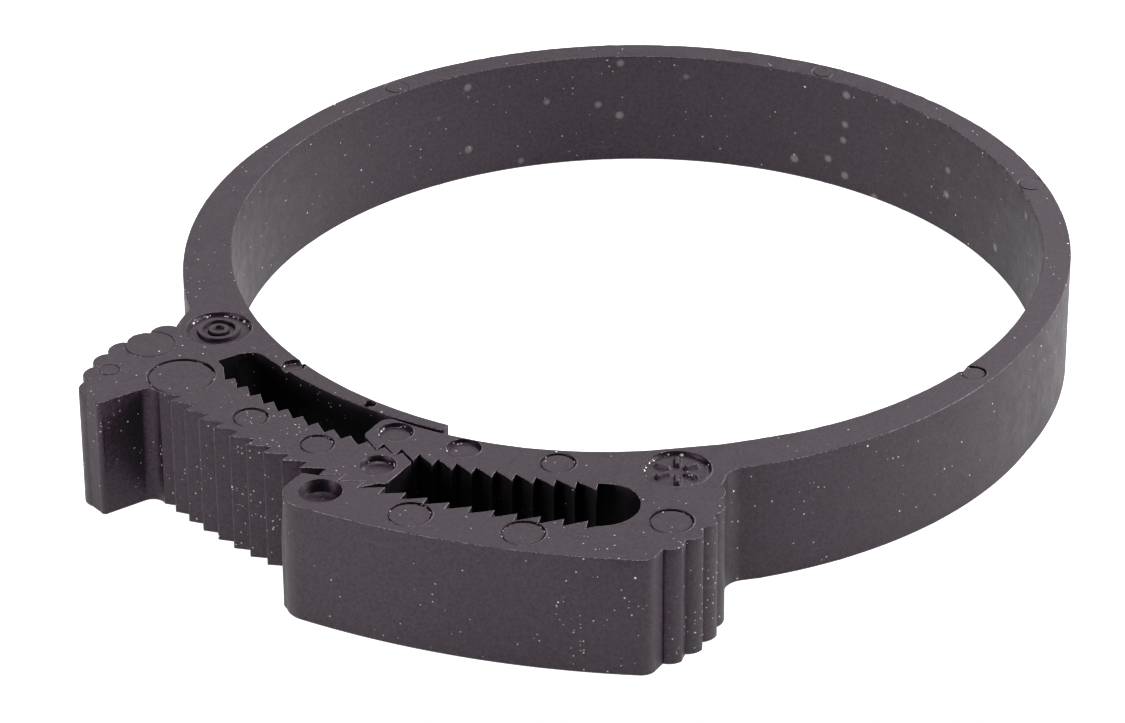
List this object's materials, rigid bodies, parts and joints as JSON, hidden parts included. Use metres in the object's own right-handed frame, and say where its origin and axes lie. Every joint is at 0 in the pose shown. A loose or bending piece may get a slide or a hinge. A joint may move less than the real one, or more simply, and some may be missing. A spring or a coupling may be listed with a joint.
{
  "type": "hose clamp",
  "caption": "Moulded nylon double-bite ratchet hose clamp: an open ring whose toothed jaws mesh, click closed and slide apart sideways to release.",
  "frame": {"origin": "on the bore's axis, in the plane of the underside", "axes": "+Z along the bore's axis, towards the top face; +Y towards the back of the band, opposite the jaws; the jaws meet at -Y, with the right jaw towards +X"},
  "size_m": [0.0837, 0.0992, 0.012],
  "materials": {
    "nylon": "satin moulded nylon, dark warm grey to black"
  },
  "bodies": {
    "band_back": {"band_back": "nylon"},
    "right_link": {"right_band_link": "nylon"},
    "right_segment_1": {"right_band_segment_1": "nylon"},
    "right_segment_2": {"right_band_segment_2": "nylon"},
    "right_segment_3": {"right_band_segment_3": "nylon"},
    "right_segment_4": {"right_band_segment_4": "nylon"},
    "right_neck": {"right_neck": "nylon"},
    "right_jaw": {"right_jaw_root": "nylon", "inner_jaw_arm": "nylon", "outer_jaw_arm": "nylon"},
    "left_link": {"left_band_link": "nylon"},
    "left_segment_1": {"left_band_segment_1": "nylon"},
    "left_segment_2": {"left_band_segment_2": "nylon"},
    "left_segment_3": {"left_band_segment_3": "nylon"},
    "left_segment_4": {"left_band_segment_4": "nylon"},
    "left_neck": {"left_neck": "nylon"},
    "left_jaw": {"left_jaw_root": "nylon", "thumb_hook": "nylon", "ratchet_tongue": "nylon"},
    "lip": {"guard_lip": "nylon"}
  },
  "joints": [
    {"name": "right_release_twist", "type": "hinge", "parent": "band_back", "child": "right_link", "pos_m": [0.0056, 0.03996, 0.006], "axis": [-1, 0, 0], "range_deg": [0, 5.75], "stiffness_Nm_per_rad": 0.6},
    {"name": "right_bend_1", "type": "hinge", "parent": "right_link", "child": "right_segment_1", "pos_m": [0.0138, 0.03792, 0.006], "axis": [0, 0, -1], "range_deg": [-1.46, 1.88], "deforming": ["inner_jaw_arm", "outer_jaw_arm"]},
    {"name": "right_bend_2", "type": "hinge", "parent": "right_segment_1", "child": "right_segment_2", "pos_m": [0.02999, 0.027, 0.006], "axis": [0, 0, -1], "range_deg": [-1.46, 1.88]},
    {"name": "right_bend_3", "type": "hinge", "parent": "right_segment_2", "child": "right_segment_3", "pos_m": [0.03898, 0.01044, 0.006], "axis": [0, 0, -1], "range_deg": [-1.46, 1.88]},
    {"name": "right_bend_4", "type": "hinge", "parent": "right_segment_3", "child": "right_segment_4", "pos_m": [0.03985, -0.00631, 0.006], "axis": [0, 0, -1], "range_deg": [-1.46, 1.88]},
    {"name": "right_bend_5", "type": "hinge", "parent": "right_segment_4", "child": "right_neck", "pos_m": [0.03459, -0.02078, 0.006], "axis": [0, 0, -1], "range_deg": [-1.46, 1.88]},
    {"name": "right_release_level", "type": "hinge", "parent": "right_neck", "child": "right_jaw", "pos_m": [0.0306, -0.0277, 0.006], "axis": [1, 0, 0], "range_deg": [0, 5.75]},
    {"name": "left_release_twist", "type": "hinge", "parent": "band_back", "child": "left_link", "pos_m": [-0.0056, 0.03996, 0.006], "axis": [1, 0, 0], "range_deg": [0, 5.75]},
    {"name": "left_bend_1", "type": "hinge", "parent": "left_link", "child": "left_segment_1", "pos_m": [-0.0138, 0.03792, 0.006], "axis": [0, 0, 1], "range_deg": [-1.46, 1.88]},
    {"name": "left_bend_2", "type": "hinge", "parent": "left_segment_1", "child": "left_segment_2", "pos_m": [-0.02999, 0.027, 0.006], "axis": [0, 0, 1], "range_deg": [-1.46, 1.88]},
    {"name": "left_bend_3", "type": "hinge", "parent": "left_segment_2", "child": "left_segment_3", "pos_m": [-0.03898, 0.01044, 0.006], "axis": [0, 0, 1], "range_deg": [-1.46, 1.88]},
    {"name": "left_bend_4", "type": "hinge", "parent": "left_segment_3", "child": "left_segment_4", "pos_m": [-0.03985, -0.00631, 0.006], "axis": [0, 0, 1], "range_deg": [-1.46, 1.88]},
    {"name": "left_bend_5", "type": "hinge", "parent": "left_segment_4", "child": "left_neck", "pos_m": [-0.03459, -0.02078, 0.006], "axis": [0, 0, 1], "range_deg": [-1.46, 1.88]},
    {"name": "left_release_level", "type": "hinge", "parent": "left_neck", "child": "left_jaw", "pos_m": [-0.0306, -0.0277, 0.006], "axis": [-1, 0, 0], "range_deg": [0, 5.75]},
    {"name": "lip_flex", "type": "hinge", "parent": "left_jaw", "child": "lip", "pos_m": [-0.01906, -0.0354, 0.006], "axis": [0, 0, 1], "range_deg": [-2.77, 3.57]}
  ],
  "couplings": [
    {"joint": "right_bend_2", "follows": "right_bend_1", "ratio": 1},
    {"joint": "right_bend_3", "follows": "right_bend_1", "ratio": 1},
    {"joint": "right_bend_4", "follows": "right_bend_1", "ratio": 1},
    {"joint": "right_bend_5", "follows": "right_bend_1", "ratio": 1},
    {"joint": "right_release_level", "follows": "right_release_twist", "ratio": 1},
    {"joint": "left_release_twist", "follows": "right_release_twist", "ratio": 1},
    {"joint": "left_bend_1", "follows": "right_bend_1", "ratio": 1},
    {"joint": "left_bend_2", "follows": "right_bend_1", "ratio": 1},
    {"joint": "left_bend_3", "follows": "right_bend_1", "ratio": 1},
    {"joint": "left_bend_4", "follows": "right_bend_1", "ratio": 1},
    {"joint": "left_bend_5", "follows": "right_bend_1", "ratio": 1},
    {"joint": "left_release_level", "follows": "right_release_twist", "ratio": 1},
    {"joint": "lip_flex", "follows": "right_bend_1", "ratio": 1.9}
  ]
}
